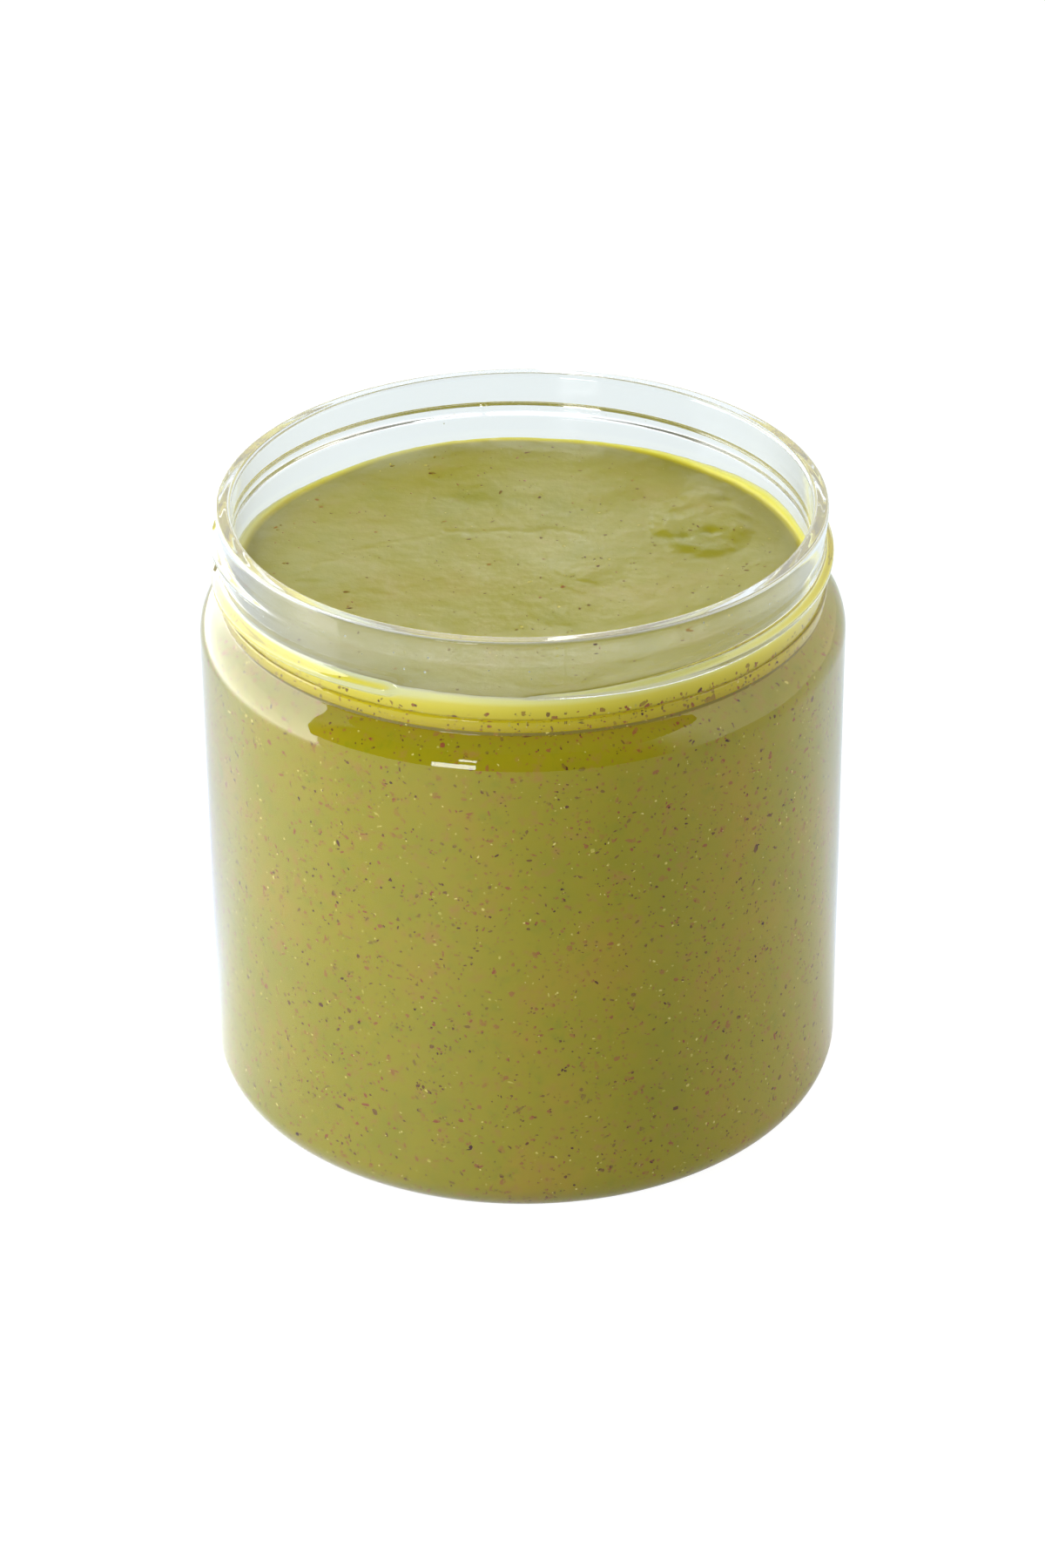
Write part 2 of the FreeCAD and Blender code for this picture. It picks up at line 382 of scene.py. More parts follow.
# ------------------------------------------------------------- flecks
# Ground skins and bits of nut: each is a low flat cap that sits in the
# paste's surface, its rim sunk and its middle just proud of it.
way = np.vstack([[BORE_R + WET, LEVEL - 0.1], side[side[:, 0] > 37.5]])
way_s = np.concatenate([[0], np.cumsum(np.hypot(*np.diff(way, axis=0).T))])
way_t = np.gradient(way, way_s, axis=0)
way_t /= np.linalg.norm(way_t, axis=1)[:, None]


def on_wall(theta, s, lift):
    """Points against the wall: angle in degrees, distance down the wall."""
    r, z = np.interp(s, way_s, way[:, 0]), np.interp(s, way_s, way[:, 1])
    nr, nz = -np.interp(s, way_s, way_t[:, 1]), np.interp(s, way_s, way_t[:, 0])
    t = np.radians(theta)
    r = r + nr * lift
    return np.stack([r * np.sin(t), -r * np.cos(t), z + nz * lift], -1)


def on_top(x, y, lift):
    return np.stack([x, y, surface(x, y) + lift], -1)


def caps(name, wall, top):
    """One joined mesh of caps. wall: rows (theta, s, size, stretch, turn);
    top: rows (x, y, size, stretch, turn)."""
    rim = 6
    verts, faces = [], []
    for kind, rows in (("wall", wall), ("top", top)):
        if not len(rows):
            continue
        rows = np.asarray(rows)
        a = (np.arange(rim) * 360.0 / rim)[None, :] + rng.uniform(-14, 14, (len(rows), rim))
        rad = rows[:, 2:3] * rng.uniform(0.62, 1.25, (len(rows), rim))
        u = np.cos(np.radians(a)) * rad * np.sqrt(rows[:, 3:4])
        w = np.sin(np.radians(a)) * rad / np.sqrt(rows[:, 3:4])
        c, d = np.cos(rows[:, 4:5]), np.sin(rows[:, 4:5])
        u, w = u * c - w * d, u * d + w * c
        U = np.concatenate([u * 0, u * 0.6, u], 1)[:, [0] + list(range(rim, 3 * rim))]
        W = np.concatenate([w * 0, w * 0.6, w], 1)[:, [0] + list(range(rim, 3 * rim))]
        L = np.array([0.026] + [0.020] * rim + [-0.012] * rim)[None, :]
        if kind == "wall":
            P = on_wall(rows[:, 0:1] + np.degrees(U / BODY_R), rows[:, 1:2] + W, L)
        else:
            P = on_top(rows[:, 0:1] + U, rows[:, 1:2] + W, L)
        for block in P:
            b = len(verts)
            verts.extend(block)
            for i in range(rim):
                j = (i + 1) % rim
                faces.append((b, b + 1 + i, b + 1 + j))
                faces.append((b + 1 + i, b + 1 + rim + i, b + 1 + rim + j, b + 1 + j))
    return new_mesh(name, np.array(verts), faces)


def scatter(n_wall, n_top, size, spread, longest, extra=()):
    """Seeded places for caps. size is the median radius in millimetres."""
    def shape(k):
        r = np.clip(size * np.exp(rng.normal(0, spread, k)), 0.08, 0.58)
        return r, 1 + (longest - 1) * rng.random(k) ** 2, rng.normal(0, 0.6, k) + (rng.random(k) < 0.3) * 1.2
    wall = []
    r, e, o = shape(n_wall)
    s = rng.uniform(0.3, way_s[-1] - 0.5, n_wall)
    wall = np.stack([rng.uniform(-180, 180, n_wall), s, r, e, o], 1)
    for count, a0, a1, s0, s1 in extra:
        r, e, o = shape(count)
        more = np.stack([rng.uniform(a0, a1, count), rng.uniform(s0, s1, count), r, e, o], 1)
        wall = np.vstack([wall, more])
    r, e, o = shape(n_top)
    q, g = 38.6 * np.sqrt(rng.random(n_top)), rng.uniform(0, 2 * math.pi, n_top)
    top = np.stack([q * np.cos(g), q * np.sin(g), r, e, o], 1)
    return wall, top


def drops(name, groups):
    """Tiny splashes on the inside of the neck, above the paste."""
    verts, faces = [], []
    rings, around = 3, 8
    for count, a0, a1, z0, z1 in groups:
        for _ in range(count):
            t, z = math.radians(rng.uniform(a0, a1)), rng.uniform(z0, z1)
            r = 0.075 + 0.10 * rng.random() ** 2
            b = len(verts)
            for i in range(rings + 1):
                tilt = i / rings * math.pi / 2
                depth, wide = r * 0.7 * math.cos(tilt), r * math.sin(tilt)
                for j in range(around if i else 1):
                    g = 2 * math.pi * j / around
                    rr = BORE_R + 0.02 - depth
                    tt = t + wide * math.cos(g) / BORE_R
                    verts.append((rr * math.sin(tt), -rr * math.cos(tt), z + wide * math.sin(g)))
            for j in range(around):
                k = (j + 1) % around
                faces.append((b, b + 1 + j, b + 1 + k))
                for i in range(rings - 1):
                    p = b + 1 + i * around
                    faces.append((p + j, p + around + j, p + around + k, p + k))
    return new_mesh(name, np.array(verts), faces)


splashes = drops("splashes", ((22, 32, 66, 83.2, 89.6), (14, -62, 20, 83.0, 88.5), (6, 150, 200, 84.0, 88.0)))
flecks_dark = caps("flecks_dark", *scatter(10200, 300, 0.160, 0.45, 3.0, ((60, -5, 62, 0.3, 4.5),)))
flecks_pale = caps("flecks_pale", *scatter(3000, 150, 0.145, 0.38, 2.6, ((30, -5, 62, 0.3, 4.5),)))
flecks_red = caps("flecks_red", *scatter(8600, 70, 0.235, 0.44, 2.8, ((50, 5, 60, 0.3, 4.5),)))


# ------------------------------------------------------------- materials
def material(name):
    mat = bpy.data.materials.new(name)
    mat.use_nodes = True
    nt = mat.node_tree
    nt.nodes.clear()
    return mat, nt


def node(nt, kind, **settings):
    nd = nt.nodes.new(kind)
    for key, value in settings.items():
        if key.startswith("in_"):
            nd.inputs[key[3:].replace("_", " ")].default_value = value
        else:
            setattr(nd, key, value)
    return nd


def link(nt, a, out, b, inp):
    nt.links.new(a.outputs[out], b.inputs[inp])


def ramp(nt, stops, interpolation="EASE"):
    nd = nt.nodes.new("ShaderNodeValToRGB")
    cr = nd.color_ramp
    cr.interpolation = interpolation
    while len(cr.elements) > 1:
        cr.elements.remove(cr.elements[-1])
    cr.elements[0].position, cr.elements[0].color = stops[0]
    for pos, col in stops[1:]:
        e = cr.elements.new(pos)
        e.color = col
    return nd


def srgb(r, g, b):
    out = []
    for v in (r, g, b):
        v /= 255.0
        out.append(v / 12.92 if v <= 0.04045 else ((v + 0.055) / 1.055) ** 2.4)
    return (*out, 1.0)


# clear plastic
plastic, nt = material("clear_plastic")
out = node(nt, "ShaderNodeOutputMaterial")
body = node(nt, "ShaderNodeBsdfPrincipled")
body.inputs["Base Color"].default_value = (0.985, 0.995, 1.0, 1)
body.inputs["Transmission Weight"].default_value = 1.0
body.inputs["IOR"].default_value = 1.56
co = node(nt, "ShaderNodeTexCoord")
flow = node(nt, "ShaderNodeTexNoise", noise_dimensions="3D")
flow.inputs["Scale"].default_value = 60.0
flow.inputs["Detail"].default_value = 3.0
stretch = node(nt, "ShaderNodeMapping")
stretch.inputs["Scale"].default_value = (1.0, 1.0, 2.2)
link(nt, co, "Object", stretch, "Vector")
link(nt, stretch, "Vector", flow, "Vector")
wave = node(nt, "ShaderNodeBump")
wave.inputs["Strength"].default_value = 0.10
wave.inputs["Distance"].default_value = 0.0004
link(nt, flow, "Fac", wave, "Height")
link(nt, wave, "Normal", body, "Normal")
fog = node(nt, "ShaderNodeTexNoise")
fog.inputs["Scale"].default_value = 220.0
rough = node(nt, "ShaderNodeMapRange")
rough.inputs["To Min"].default_value = 0.008
rough.inputs["To Max"].default_value = 0.035
link(nt, co, "Object", fog, "Vector")
link(nt, fog, "Fac", rough, "Value")
link(nt, rough, "Result", body, "Roughness")
clear = node(nt, "ShaderNodeBsdfTransparent")
clear.inputs["Color"].default_value = (0.96, 0.97, 0.975, 1)
path = node(nt, "ShaderNodeLightPath")
either = node(nt, "ShaderNodeMath", operation="MAXIMUM")
link(nt, path, "Is Shadow Ray", either, 0)
link(nt, path, "Is Diffuse Ray", either, 1)
mix = node(nt, "ShaderNodeMixShader")
link(nt, either, "Value", mix, 0)
# painted highlight: the rim's top edge is made milky white, standing in for the bright line of back light that it
# reflects
hgt = node(nt, "ShaderNodeSeparateXYZ")
link(nt, co, "Object", hgt, "Vector")
edge = node(nt, "ShaderNodeMapRange")
edge.interpolation_type = "SMOOTHSTEP"
link(nt, hgt, "Z", edge, "Value")
edge.inputs["From Min"].default_value = 0.0908
edge.inputs["From Max"].default_value = 0.0913
edge.inputs["To Max"].default_value = 0.26
rim_painted_highlight = node(nt, "ShaderNodeBsdfPrincipled")
rim_painted_highlight.inputs["Base Color"].default_value = (0.90, 0.93, 0.95, 1)
rim_painted_highlight.inputs["Roughness"].default_value = 0.35
rim_highlight_mix = node(nt, "ShaderNodeMixShader")
link(nt, edge, "Result", rim_highlight_mix, 0)
link(nt, body, "BSDF", rim_highlight_mix, 1)
link(nt, rim_painted_highlight, "BSDF", rim_highlight_mix, 2)
link(nt, rim_highlight_mix, "Shader", mix, 1)
link(nt, clear, "BSDF", mix, 2)
link(nt, mix, "Shader", out, "Surface")
jar.data.materials.append(plastic)


def paste_material(name, top):
    mat, nt = material(name)
    out = node(nt, "ShaderNodeOutputMaterial")
    b = node(nt, "ShaderNodeBsdfPrincipled")
    co = node(nt, "ShaderNodeTexCoord")
    # slow patches of greener, yellower and browner paste
    patch = node(nt, "ShaderNodeTexNoise")
    patch.inputs["Scale"].default_value = 75.0
    patch.inputs["Detail"].default_value = 4.0
    patch.inputs["Roughness"].default_value = 0.55
    link(nt, co, "Object", patch, "Vector")
    tone = ramp(nt, TONES_TOP if top else TONES_WALL)
    link(nt, patch, "Fac", tone, "Fac")
    # and, finer, where the ground skins gather or are missing
    gather = node(nt, "ShaderNodeTexNoise")
    gather.inputs["Scale"].default_value = 360.0
    gather.inputs["Detail"].default_value = 5.0
    gather.inputs["Roughness"].default_value = 0.72
    link(nt, co, "Object", gather, "Vector")
    reddish = node(nt, "ShaderNodeMapRange", interpolation_type="SMOOTHSTEP")
    link(nt, gather, "Fac", reddish, "Value")
    reddish.inputs["From Min"].default_value = 0.53
    reddish.inputs["From Max"].default_value = 0.72
    reddish.inputs["To Max"].default_value = 0.15 if top else 0.85
    greenish = node(nt, "ShaderNodeMapRange", interpolation_type="SMOOTHSTEP")
    link(nt, gather, "Fac", greenish, "Value")
    greenish.inputs["From Min"].default_value = 0.47
    greenish.inputs["From Max"].default_value = 0.30
    greenish.inputs["To Max"].default_value = 0.15 if top else 0.75
    mottled = tone
    for factor, shade in ((reddish, (0.385, 0.222, 0.034, 1)), (greenish, (0.265, 0.262, 0.004, 1))):
        step = node(nt, "ShaderNodeMix", data_type="RGBA")
        link(nt, factor, "Result", step, 0)
        nt.links.new(mottled.outputs[0 if mottled is tone else 2], step.inputs[6])
        step.inputs[7].default_value = shade
        mottled = step
    # the collar: painted light and shade on the thin edge of the paste, brighter bands where light comes through
    # the clear neck and darker bands where shade falls, set by height on the wall and by distance from the axis on
    # the top
    xyz = node(nt, "ShaderNodeSeparateXYZ")
    link(nt, co, "Object", xyz, "Vector")
    place = node(nt, "ShaderNodeMapRange")
    if top:
        rr = node(nt, "ShaderNodeVectorMath", operation="MULTIPLY")
        rr.inputs[1].default_value = (1, 1, 0)
        link(nt, co, "Object", rr, "Vector")
        ln = node(nt, "ShaderNodeVectorMath", operation="LENGTH")
        link(nt, rr, "Vector", ln, "Vector")
        link(nt, ln, "Value", place, "Value")
        place.inputs["From Min"].default_value = 0.0330
        place.inputs["From Max"].default_value = 0.0410
        stops = TOP_PAINTED_LIGHT
    else:
        link(nt, xyz, "Z", place, "Value")
        place.inputs["From Min"].default_value = 0.074
        place.inputs["From Max"].default_value = 0.083
        stops = WALL_PAINTED_LIGHT_AND_SHADE
    painted_light_and_shade = ramp(nt, [(p, c) for p, _, c in stops], "LINEAR")
    amount = ramp(nt, [(p, (w, w, w, 1)) for p, w, _ in stops], "LINEAR")
    link(nt, place, "Result", painted_light_and_shade, "Fac")
    link(nt, place, "Result", amount, "Fac")
    blend = node(nt, "ShaderNodeMix", data_type="RGBA")
    link(nt, amount, "Color", blend, 0)
    nt.links.new(mottled.outputs[2], blend.inputs[6])
    nt.links.new(painted_light_and_shade.outputs["Color"], blend.inputs[7])
    # towards the left, above the paste's level, the film is made paler and creamier
    leftward = node(nt, "ShaderNodeMapRange", interpolation_type="SMOOTHSTEP")
    link(nt, xyz, "X", leftward, "Value")
    leftward.inputs["From Min"].default_value = -0.008
    leftward.inputs["From Max"].default_value = -0.024
    upper = node(nt, "ShaderNodeMapRange", interpolation_type="SMOOTHSTEP")
    link(nt, xyz, "Z", upper, "Value")
    upper.inputs["From Min"].default_value = 0.0801
    upper.inputs["From Max"].default_value = 0.0814
    pale = node(nt, "ShaderNodeMath", operation="MULTIPLY")
    link(nt, leftward, "Result", pale, 0)
    link(nt, upper, "Result", pale, 1)
    creamy = node(nt, "ShaderNodeMix", data_type="RGBA")
    link(nt, pale, "Value", creamy, 0)
    nt.links.new(blend.outputs[2], creamy.inputs[6])
    creamy.inputs[7].default_value = (0.54, 0.56, 0.36, 1)
    nt.links.new(creamy.outputs[2], b.inputs["Base Color"])
    b.inputs["Subsurface Weight"].default_value = 0.35
    b.inputs["Subsurface Radius"].default_value = (1.0, 0.85, 0.25)
    b.inputs["Subsurface Scale"].default_value = 0.0010
    b.inputs["IOR"].default_value = 1.45
    b.inputs["Specular IOR Level"].default_value = 0.39 if top else 0.0
    b.inputs["Roughness"].default_value = 0.24 if top else 0.6
    grain = node(nt, "ShaderNodeTexNoise")
    grain.inputs["Scale"].default_value = 1400.0
    grain.inputs["Detail"].default_value = 3.0
    link(nt, co, "Object", grain, "Vector")
    bump_n = node(nt, "ShaderNodeBump")
    bump_n.inputs["Strength"].default_value = 0.25
    bump_n.inputs["Distance"].default_value = 0.0001
    link(nt, grain, "Fac", bump_n, "Height")
    link(nt, bump_n, "Normal", b, "Normal")
    link(nt, b, "BSDF", out, "Surface")
    return mat


def fleck_material(name, stops, roughness):
    """Each cell of the pattern is about as big as one fleck, so that every
    fleck takes its own tone."""
    mat, nt = material(name)
    out = node(nt, "ShaderNodeOutputMaterial")
    b = node(nt, "ShaderNodeBsdfPrincipled")
    co = node(nt, "ShaderNodeTexCoord")
    cell = node(nt, "ShaderNodeTexVoronoi")
    cell.inputs["Scale"].default_value = 1100.0
    link(nt, co, "Object", cell, "Vector")
    one = node(nt, "ShaderNodeSeparateColor")
    link(nt, cell, "Color", one, "Color")
    tone = ramp(nt, stops, "LINEAR")
    link(nt, one, "Red", tone, "Fac")
    nt.links.new(tone.outputs["Color"], b.inputs["Base Color"])
    b.inputs["Roughness"].default_value = roughness
    b.inputs["IOR"].default_value = 1.45
    b.inputs["Specular IOR Level"].default_value = 0.0
    link(nt, b, "BSDF", out, "Surface")
    return mat


DARK = [(0.00, (0.255, 0.195, 0.012, 1)), (0.40, (0.230, 0.145, 0.016, 1)), (0.72, (0.180, 0.085, 0.014, 1)),
        (0.92, (0.120, 0.042, 0.012, 1)), (1.00, (0.060, 0.012, 0.009, 1))]
PALE = [(0.00, (0.440, 0.385, 0.040, 1)), (0.60, (0.560, 0.470, 0.080, 1)), (1.00, (0.760, 0.660, 0.200, 1))]
RED = [(0.00, (0.350, 0.245, 0.010, 1)), (0.35, (0.335, 0.200, 0.018, 1)), (0.75, (0.330, 0.150, 0.026, 1)),
       (1.00, (0.290, 0.080, 0.024, 1))]
SPLASH = [(0.00, (0.55, 0.56, 0.42, 1)), (1.00, (0.80, 0.82, 0.74, 1))]
splashes.data.materials.append(fleck_material("splash", SPLASH, 0.2))
flecks_dark.data.materials.append(fleck_material("fleck_dark", DARK, 0.7))
flecks_pale.data.materials.append(fleck_material("fleck_pale", PALE, 0.7))
flecks_red.data.materials.append(fleck_material("fleck_red", RED, 0.7))

TONES_WALL = [(0.30, (0.300, 0.272, 0.004, 1)), (0.50, (0.332, 0.284, 0.004, 1)), (0.72, (0.372, 0.275, 0.010, 1))]
TONES_TOP = [(0.30, (0.308, 0.287, 0.004, 1)), (0.50, (0.340, 0.303, 0.004, 1)), (0.72, (0.362, 0.298, 0.010, 1))]
# painted bands of light and shade up the paste's wall, bright where light comes through the neck and dark where
# shade falls round the bead, with the film's own yellower colour towards the top: position, amount, colour
WALL_PAINTED_LIGHT_AND_SHADE = [
    (0.150, 0.0, (0.34, 0.27, 0.004, 1)),
    (0.262, 0.9, (0.330, 0.255, 0.004, 1)),
    (0.292, 1.0, (0.225, 0.175, 0.008, 1)),
    (0.326, 1.0, (0.215, 0.165, 0.010, 1)),
    (0.346, 1.0, (0.400, 0.310, 0.006, 1)),
    (0.367, 1.0, (0.480, 0.370, 0.004, 1)),
    (0.433, 1.0, (0.565, 0.455, 0.006, 1)),
    (0.500, 1.0, (0.560, 0.460, 0.010, 1)),
    (0.518, 1.0, (0.400, 0.320, 0.008, 1)),
    (0.540, 1.0, (0.400, 0.320, 0.008, 1)),
    (0.562, 1.0, (0.600, 0.500, 0.020, 1)),
    (0.689, 1.0, (0.690, 0.600, 0.045, 1)),
    (0.756, 1.0, (0.710, 0.630, 0.080, 1)),
    (0.822, 1.0, (0.740, 0.700, 0.260, 1)),
    (0.890, 1.0, (0.740, 0.710, 0.300, 1)),
    (0.960, 1.0, (0.740, 0.700, 0.300, 1)),
]
# painted light round the edge of the paste's top: a touch of painted shade short of the wall, then a painted glow
# at the wall where light comes through the neck, on the film's own yellower colour; towards the wall: distance
# from the axis, then the same amount and colour
TOP_PAINTED_LIGHT = [
    (0.00, 0.0, (0.29, 0.25, 0.003, 1)),
    (0.40, 0.45, (0.30, 0.26, 0.003, 1)),
    (0.70, 0.80, (0.27, 0.240, 0.002, 1)),
    (0.84, 1.0, (0.30, 0.26, 0.002, 1)),
    (0.90, 1.0, (0.50, 0.43, 0.010, 1)),
    (0.96, 1.0, (0.72, 0.66, 0.060, 1)),
    (1.00, 1.0, (0.84, 0.82, 0.300, 1)),
]
paste_top = paste_material("paste_surface", True)
paste_wall = paste_material("paste_against_wall", False)
paste.data.materials.append(paste_top)
paste.data.materials.append(paste_wall)

# ------------------------------------------------------------- stage
bpy.ops.mesh.primitive_plane_add(size=6.0, location=(0, 0, -0.00003))
floor = bpy.context.object
floor.name = "floor"
fm, nt = material("floor_paint")
out = node(nt, "ShaderNodeOutputMaterial")
fb = node(nt, "ShaderNodeBsdfPrincipled")
fb.inputs["Base Color"].default_value = (0.84, 0.86, 0.88, 1)
fb.inputs["Roughness"].default_value = 0.7
glow = node(nt, "ShaderNodeEmission")
glow.inputs["Strength"].default_value = 0.95
soft = node(nt, "ShaderNodeBsdfDiffuse")
soft.inputs["Color"].default_value = (0.16, 0.16, 0.16, 1)
both = node(nt, "ShaderNodeAddShader")
link(nt, glow, "Emission", both, 0)
link(nt, soft, "BSDF", both, 1)
# what a reflection or a view through the plastic finds on the floor: its
# brightness round the jar, and the bright strip towards the window
place = node(nt, "ShaderNodeNewGeometry")
fx = node(nt, "ShaderNodeSeparateXYZ")
link(nt, place, "Position", fx, "Vector")


def fmath(op, a, b=None):
    nd = nt.nodes.new("ShaderNodeMath")
    nd.operation = op
    for i, q in enumerate((a, b)):
        if q is None:
            continue
        if isinstance(q, (int, float)):
            nd.inputs[i].default_value = q
        else:
            nt.links.new(q, nd.inputs[i])
    return nd.outputs[0]


def fstep(value, lo, hi):
    nd = nt.nodes.new("ShaderNodeMapRange")
    nd.interpolation_type = "SMOOTHSTEP"
    nt.links.new(value, nd.inputs["Value"])
    nd.inputs["From Min"].default_value = lo
    nd.inputs["From Max"].default_value = hi
    return nd.outputs[0]


round_jar = fmath("ARCTAN2", fx.outputs["X"], fmath("MULTIPLY", fx.outputs["Y"], -1.0))
turn = fmath("ADD", fmath("MULTIPLY", round_jar, 1 / (2 * math.pi)), 0.5)
FLOOR = ((-180, 0.90, 0.98, 1.00), (-150, 1.02, 1.1, 1.22), (-130, 1.08, 1.16, 1.42), (-119, 1.2, 1.32, 1.66),
         (-107, 1.45, 1.6, 1.93), (-91, 1.5, 1.58, 1.66), (-75, 1.5, 1.54, 1.58), (-55, 1.26, 1.28, 1.3),
         (-26, 1.1, 1.12, 1.12), (0, 0.7, 0.7, 0.68), (26, 0.5, 0.5, 0.48), (54, 0.61, 0.61, 0.6),
         (71, 0.65, 0.65, 0.64), (90, 0.8, 0.8, 0.8), (107, 0.95, 1.0, 1.03), (119, 0.97, 1.07, 1.22),
         (134, 0.88, 0.97, 1.08), (160, 0.88, 0.98, 1.02), (180, 0.90, 0.98, 1.00))
sheen = ramp(nt, [((q[0] + 180) / 360, (q[1] / 3, q[2] / 3, q[3] / 3, 1)) for q in FLOOR], "LINEAR")
nt.links.new(turn, sheen.inputs["Fac"])
tripled = node(nt, "ShaderNodeVectorMath", operation="SCALE")
link(nt, sheen, "Color", tripled, 0)
tripled.inputs["Scale"].default_value = 3.0
near_window = fmath("MULTIPLY", fstep(fmath("MULTIPLY", fx.outputs["X"], -1.0), 0.150, 0.290), 4.4)
edge_y = fmath("ADD", fmath("MULTIPLY", fx.outputs["X"], 0.325), -0.021)
beyond = fmath("SUBTRACT", fx.outputs["Y"], edge_y)
near_window = fmath("MULTIPLY", near_window, fstep(beyond, -0.006, 0.006))
strip = node(nt, "ShaderNodeVectorMath", operation="ADD")
link(nt, tripled, "Vector", strip, 0)
lit = nt.nodes.new("ShaderNodeCombineXYZ")
for i in range(3):
    nt.links.new(near_window, lit.inputs[i])
nt.links.new(lit.outputs[0], strip.inputs[1])
mirrored = node(nt, "ShaderNodeEmission")
link(nt, strip, "Vector", mirrored, "Color")
through = node(nt, "ShaderNodeEmission")
through.inputs["Color"].default_value = (0.885, 0.955, 0.975, 1)
seen = node(nt, "ShaderNodeLightPath")
shown = node(nt, "ShaderNodeMixShader")
nt.links.new(fmath("SUBTRACT", 1.0, fmath("MULTIPLY", seen.outputs["Is Transmission Ray"], 0.45)),
             mirrored.inputs["Strength"])
behind = fmath("MULTIPLY", seen.outputs["Is Transmission Ray"], fstep(fx.outputs["Y"], -0.05, 0.02))
nt.links.new(behind, shown.inputs[0])
link(nt, mirrored, "Emission", shown, 1)
link(nt, through, "Emission", shown, 2)
glossy_or_diffuse = node(nt, "ShaderNodeMixShader")
link(nt, seen, "Is Diffuse Ray", glossy_or_diffuse, 0)
link(nt, shown, "Shader", glossy_or_diffuse, 1)
link(nt, fb, "BSDF", glossy_or_diffuse, 2)
pick = node(nt, "ShaderNodeMixShader")
link(nt, seen, "Is Camera Ray", pick, 0)
link(nt, glossy_or_diffuse, "Shader", pick, 1)
link(nt, both, "Shader", pick, 2)
link(nt, pick, "Shader", out, "Surface")
fm.cycles.emission_sampling = "NONE"
floor.data.materials.append(fm)


def card(name, corners, low, high=None):
    """A glowing quad that only reflections and views through the plastic
    find. Its colour goes from low at its foot to high at its top."""
    me = bpy.data.meshes.new(name)
    me.from_pydata([tuple(c) for c in corners], [], [(0, 1, 2, 3)])
    me.update()
    o = bpy.data.objects.new(name, me)
    bpy.context.scene.collection.objects.link(o)
    mat, tree = material(name)
    to = node(tree, "ShaderNodeOutputMaterial")
    em = node(tree, "ShaderNodeEmission")
    em.inputs["Color"].default_value = (*low, 1)
    if high:
        at = node(tree, "ShaderNodeNewGeometry")
        h = node(tree, "ShaderNodeSeparateXYZ")
        link(tree, at, "Position", h, "Vector")
        fade = node(tree, "ShaderNodeMapRange")
        link(tree, h, "Z", fade, "Value")
        fade.inputs["From Min"].default_value = min(c[2] for c in corners)
        fade.inputs["From Max"].default_value = max(c[2] for c in corners)
        both_ends = node(tree, "ShaderNodeMix", data_type="RGBA")
        link(tree, fade, "Result", both_ends, 0)
        both_ends.inputs[6].default_value = (*low, 1)
        both_ends.inputs[7].default_value = (*high, 1)
        tree.links.new(both_ends.outputs[2], em.inputs["Color"])
    link(tree, em, "Emission", to, "Surface")
    mat.cycles.emission_sampling = "NONE"
    me.materials.append(mat)
    o.visible_camera = False
    o.visible_diffuse = False
    o.visible_shadow = False
    return o


def upright(az0, az1, dist, z0, z1):
    """Corners of an upright quad at this distance, between two bearings."""
    a, b = math.radians(az0), math.radians(az1)
    p = (dist * math.sin(a), -dist * math.cos(a))
    q = (dist * math.sin(b), -dist * math.cos(b))
    return [(*p, z0), (*q, z0), (*q, z1), (*p, z1)]


cards = [
    card("window_low", [(-0.30, -0.121, 0.0), (-0.30, 0.52, 0.0), (-0.30, 0.52, 0.2), (-0.30, -0.081, 0.2)],
         (6.0, 6.1, 6.2), (5.4, 5.6, 5.8)),
    card("window_high", [(-0.30, -0.081, 0.2), (-0.30, 0.52, 0.2), (-0.30, 0.52, 1.1), (-0.30, 0.28, 1.1)],
         (5.0, 5.2, 5.4), (3.6, 3.8, 4.0)),
    card("bright_back", [(-0.8, 1.3, 0.35), (0.8, 1.3, 0.35), (0.8, 1.3, 0.90), (-0.8, 1.3, 0.90)],
         (1.45, 1.50, 1.55)),
    card("dim_back", [(-1.2, 1.32, 0.90), (1.2, 1.32, 0.90), (1.2, 1.32, 3.0), (-1.2, 1.32, 3.0)],
         (0.35, 0.35, 0.35), (0.2, 0.2, 0.2)),
    card("dim_top", [(-0.7, -0.80, 0.92), (0.7, -0.80, 0.92), (0.7, 0.15, 0.92), (-0.7, 0.15, 0.92)],
         (0.16, 0.16, 0.16)),
    card("back_strip", [(0.009, 0.9, 0.30), (0.022, 0.9, 0.30), (0.022, 0.9, 0.75), (0.009, 0.9, 0.75)],
         (8.0, 8.2, 8.4)),
    card("front_bar_high", upright(-22, -15.5, 1.0, 0.42, 0.53), (11.0, 11.0, 11.0)),
    card("front_bar_low", upright(-30, -15.5, 1.0, 0.08, 0.28), (11.0, 11.0, 11.0)),
]
for o in cards[:2]:      # only the jar's first surface mirrors the window
    o.visible_transmission = False

world = bpy.data.worlds.new("studio")
bpy.context.scene.world = world
world.use_nodes = True
nt = world.node_tree
nt.nodes.clear()
wo = node(nt, "ShaderNodeOutputWorld")
bg = node(nt, "ShaderNodeBackground")
tc = node(nt, "ShaderNodeTexCoord")
xyz = node(nt, "ShaderNodeSeparateXYZ")
link(nt, tc, "Generated", xyz, "Vector")


def wmath(op, a, b=None):
    nd = nt.nodes.new("ShaderNodeMath")
    nd.operation = op
    for i, q in enumerate((a, b)):
        if q is None:
            continue
        if isinstance(q, (int, float)):
            nd.inputs[i].default_value = q
        else:
            nt.links.new(q, nd.inputs[i])
    return nd.outputs[0]


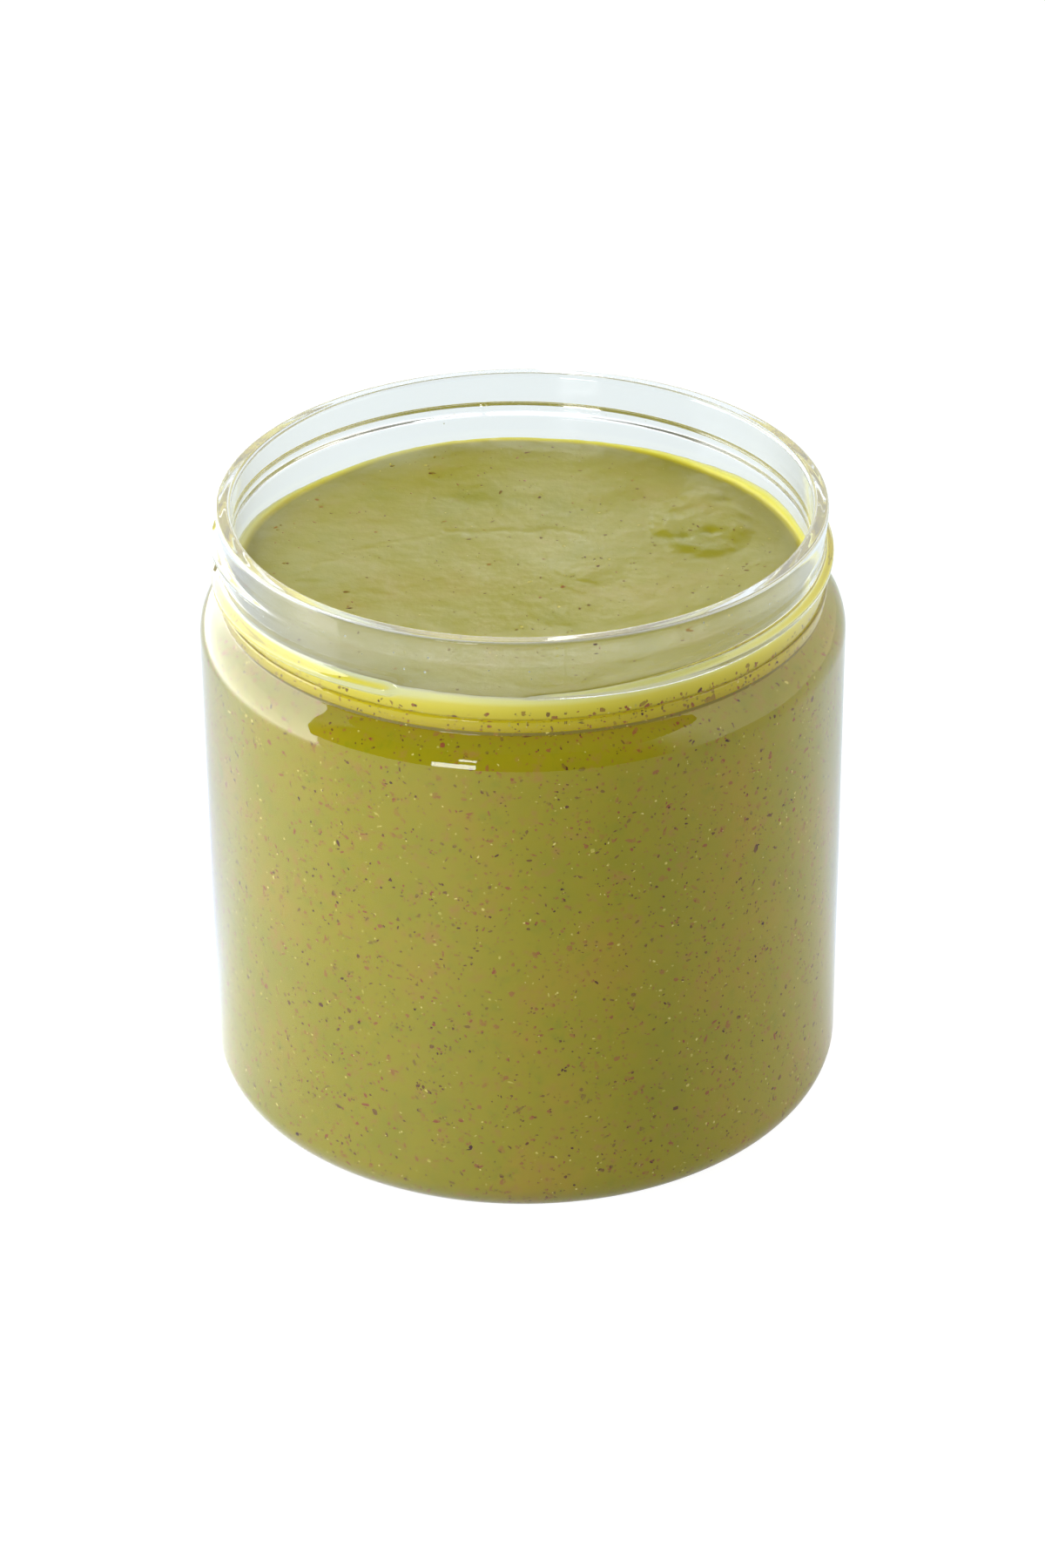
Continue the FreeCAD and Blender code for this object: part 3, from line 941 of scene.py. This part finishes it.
def wstep(value, lo, hi):
    nd = nt.nodes.new("ShaderNodeMapRange")
    nd.interpolation_type = "SMOOTHSTEP"
    nt.links.new(value, nd.inputs["Value"])
    nd.inputs["From Min"].default_value = lo
    nd.inputs["From Max"].default_value = hi
    return nd.outputs[0]


X, Y, Z = xyz.outputs
az = wmath("MULTIPLY", wmath("ARCTAN2", X, wmath("MULTIPLY", Y, -1.0)), 180 / math.pi)
el = wmath("MULTIPLY", wmath("ARCSINE", Z), 180 / math.pi)


def region(az0, az1, el0, el1, soft_az=8.0, soft_el=8.0):
    """1 inside this window of directions, falling softly to 0 at its edges."""
    m = wmath("MULTIPLY", wstep(az, az0 - soft_az / 2, az0 + soft_az / 2),
              wmath("SUBTRACT", 1.0, wstep(az, az1 - soft_az / 2, az1 + soft_az / 2)))
    e = wmath("MULTIPLY", wstep(el, el0 - soft_el / 2, el0 + soft_el / 2),
              wmath("SUBTRACT", 1.0, wstep(el, el1 - soft_el / 2, el1 + soft_el / 2)))
    return wmath("MULTIPLY", m, e)


# the studio, from the outermost layer in: what each part of it sends
STUDIO = (
    ("back", None, (1.0, 1.05, 1.08)),
    ("left", (-150, -60, -95, 95, 40, 8), (0.7, 0.72, 0.74)),
    ("front", (-78, 75, -95, 95, 10, 8), (0.10, 0.10, 0.09)),
    ("right", (56, 140, -95, 95, 30, 8), (1.62, 1.58, 1.50)),
    ("top", (-400, 400, 62, 200, 8, 16), (0.62, 0.62, 0.62)),
)
colour = None
for name, where, value in STUDIO:
    rgb = nt.nodes.new("ShaderNodeCombineXYZ")
    rgb.name = "studio_" + name
    for i in range(3):
        rgb.inputs[i].default_value = value[i]
    if colour is None:
        colour = rgb.outputs[0]
        continue
    mixer = nt.nodes.new("ShaderNodeMix")
    mixer.data_type = "VECTOR"
    nt.links.new(region(*where), mixer.inputs[0])
    nt.links.new(colour, mixer.inputs[4])
    nt.links.new(rgb.outputs[0], mixer.inputs[5])
    colour = mixer.outputs[1]
cam_ray = node(nt, "ShaderNodeLightPath")
white = nt.nodes.new("ShaderNodeMix")
white.data_type = "VECTOR"
nt.links.new(cam_ray.outputs["Is Camera Ray"], white.inputs[0])
nt.links.new(colour, white.inputs[4])
white.inputs[5].default_value = (1.03, 1.03, 1.03)
nt.links.new(white.outputs[1], bg.inputs["Color"])
link(nt, bg, "Background", wo, "Surface")


def panel(name, where, size, power, colour=(1, 1, 1), target=(0, 0, 0.05), size_y=None):
    d = bpy.data.lights.new(name, "AREA")
    d.shape = "RECTANGLE" if size_y else "SQUARE"
    d.size = size
    if size_y:
        d.size_y = size_y
    d.energy = power
    d.color = colour
    o = bpy.data.objects.new(name, d)
    bpy.context.scene.collection.objects.link(o)
    o.location = where
    o.rotation_euler = (Vector(target) - Vector(where)).to_track_quat("-Z", "Y").to_euler()
    return o


key = panel("key", (-0.990, -0.540, 0.46), 0.5, 11.9, (0.98, 1.0, 1.0))
key.visible_glossy = False
key.visible_transmission = False

# ------------------------------------------------------------- camera
D, EL, F_PX, ZT, XT, ROLL = 0.67003, math.radians(30.087), 5280.57, 0.04478, -0.0002365, -0.0082
cam_data = bpy.data.cameras.new("camera")
cam_data.sensor_width = 36.0
cam_data.lens = F_PX / 1800 * 36.0
cam_data.clip_start = 0.01
cam = bpy.data.objects.new("camera", cam_data)
bpy.context.scene.collection.objects.link(cam)
eye = Vector((XT, -D * math.cos(EL), ZT + D * math.sin(EL)))
fwd = Vector((0, math.cos(EL), -math.sin(EL)))
right0 = Vector((1, 0, 0))
up0 = right0.cross(fwd)
r2 = right0 * math.cos(ROLL) + up0 * math.sin(ROLL)
u2 = -right0 * math.sin(ROLL) + up0 * math.cos(ROLL)
from mathutils import Matrix

m4 = Matrix((r2, u2, -fwd)).transposed().to_4x4()
m4.translation = eye
cam.matrix_world = m4
scene = bpy.context.scene
scene.camera = cam
scene.view_settings.view_transform = "Standard"
scene.view_settings.look = "None"
scene.cycles.use_denoising = True
scene.cycles.max_bounces = 16
scene.cycles.transmission_bounces = 12
scene.cycles.transparent_max_bounces = 16
scene.cycles.diffuse_bounces = 4
scene.cycles.glossy_bounces = 6

# ------------------------------------------------------------- frame
for piece, cad in ((jar, "jar"), (paste, "paste")):
    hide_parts(cad)
    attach(piece, "root")
for piece in (flecks_dark, flecks_pale, flecks_red, splashes):
    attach(piece, "root")
